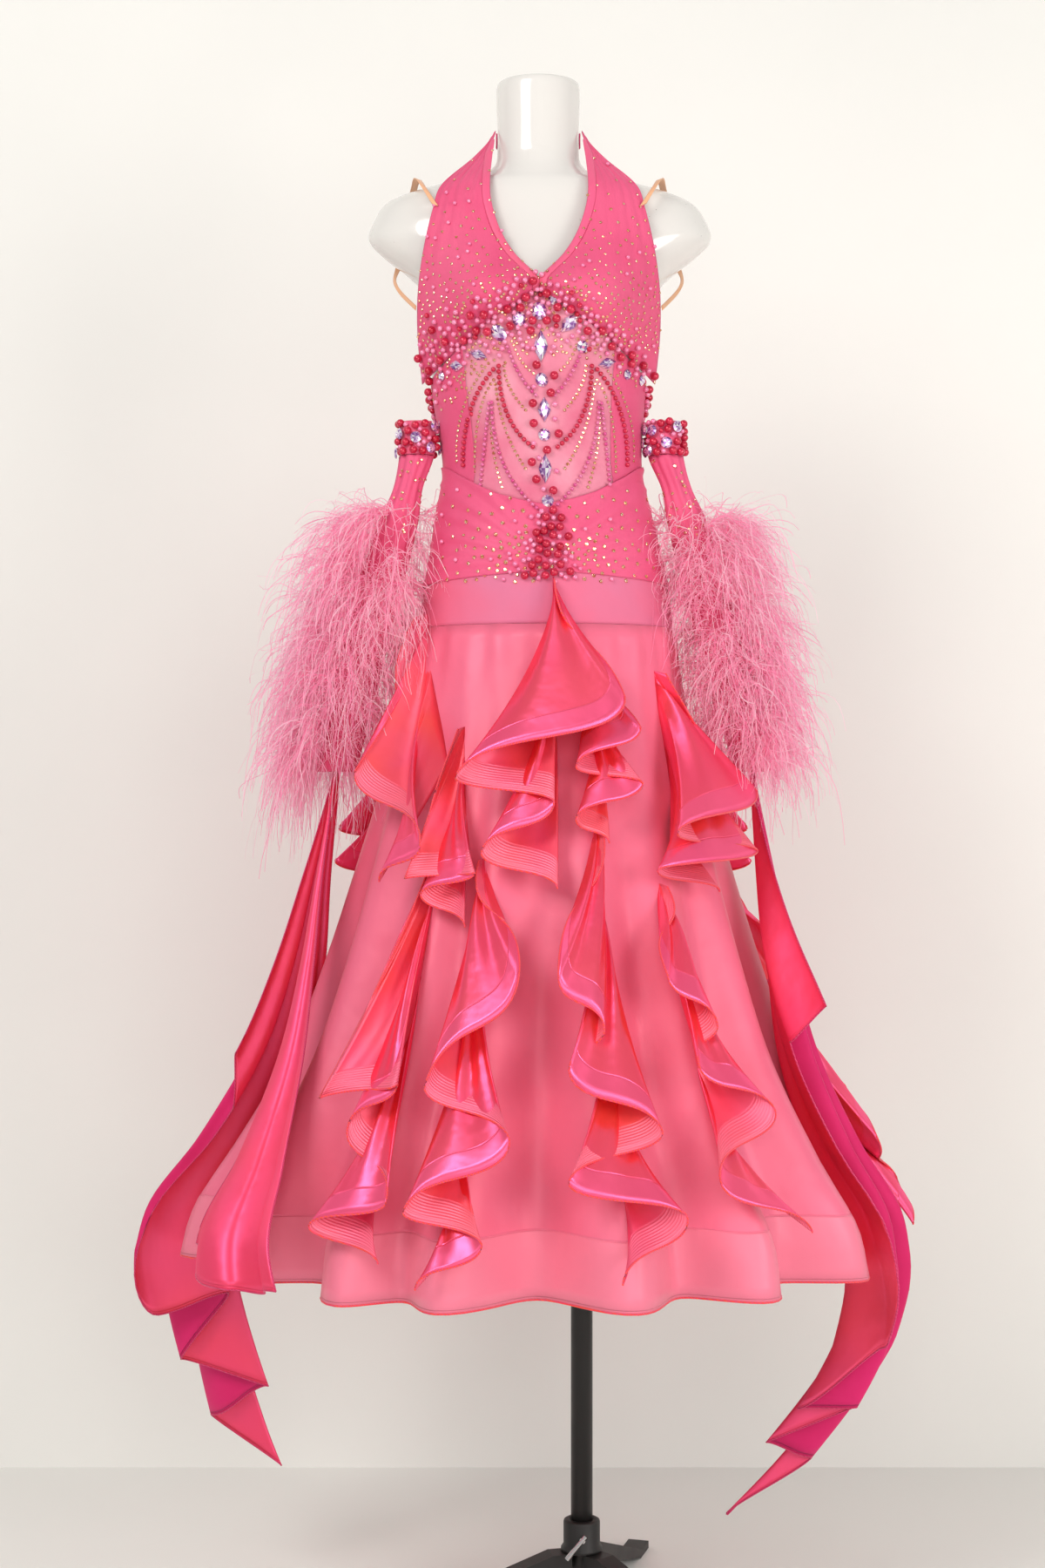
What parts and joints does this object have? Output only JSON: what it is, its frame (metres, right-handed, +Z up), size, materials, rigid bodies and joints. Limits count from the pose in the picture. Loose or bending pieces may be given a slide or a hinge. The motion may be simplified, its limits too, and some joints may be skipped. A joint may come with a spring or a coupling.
{
  "type": "ballroom dance gown on a dress form",
  "caption": "Halter-neck ballroom dance gown with ruched hips, a flared flounced skirt and feathered arm floats, on a limbless dress form with a three-legged stand.",
  "frame": {"origin": "floor point under the centre of the bounding box", "axes": "+Z up along the pole, -Y towards the front of the gown, +X towards the viewer's right from the front"},
  "size_m": [0.8884, 0.7604, 1.766],
  "materials": {
    "stretch_mesh": "pink stretch mesh, ruched on the hips",
    "sheer_mesh": "sheer pink stretch mesh",
    "crepe": "coral satin-backed crepe",
    "underskirt_satin": "coral satin",
    "flounce_satin": "coral satin shot with magenta, hems stiffened",
    "float_satin": "magenta satin-backed crepe",
    "ostrich_feather": "pink ostrich fronds",
    "beadwork": "packed glass beads and pearls",
    "elastic": "skin-toned elastic",
    "form_shell": "white gloss shell",
    "stand_metal": "black paint",
    "chrome": "polished chrome"
  },
  "bodies": {
    "root": {"armband_left": "beadwork", "armband_right": "beadwork", "cascade_back_centre": "flounce_satin", "cascade_back_left": "flounce_satin", "cascade_back_right": "flounce_satin", "cascade_centre_left": "flounce_satin", "cascade_centre_right": "flounce_satin", "cascade_far_right": "flounce_satin", "cascade_left": "flounce_satin", "cascade_right": "flounce_satin", "cascade_side_right": "flounce_satin", "clamp_screw": "chrome", "dress_form": "form_shell", "elastic_left": "elastic", "elastic_right": "elastic", "feather_cuff_left": "ostrich_feather", "feather_cuff_right": "ostrich_feather", "float_left": "float_satin", "float_left_front": "float_satin", "float_right": "float_satin", "flounce_back_centre": "flounce_satin", "flounce_back_left": "flounce_satin", "flounce_back_right": "flounce_satin", "flounce_front_centre": "flounce_satin", "flounce_front_left": "flounce_satin", "flounce_front_left_under": "flounce_satin", "flounce_front_right": "flounce_satin", "flounce_front_under": "flounce_satin", "halter_left": "stretch_mesh", "halter_right": "stretch_mesh", "hip_wrap": "stretch_mesh", "hip_yoke": "crepe", "midriff_front": "sheer_mesh", "neck_binding_left": "crepe", "neck_binding_right": "crepe", "neck_strap": "stretch_mesh", "pole": "stand_metal", "pole_flange": "stand_metal", "side_panel_left": "stretch_mesh", "side_panel_right": "stretch_mesh", "skirt": "underskirt_satin", "sleeve_left": "stretch_mesh", "sleeve_right": "stretch_mesh", "stand_hub": "stand_metal", "stand_leg_back": "stand_metal", "stand_leg_left": "stand_metal", "stand_leg_right": "stand_metal"}
  },
  "joints": []
}
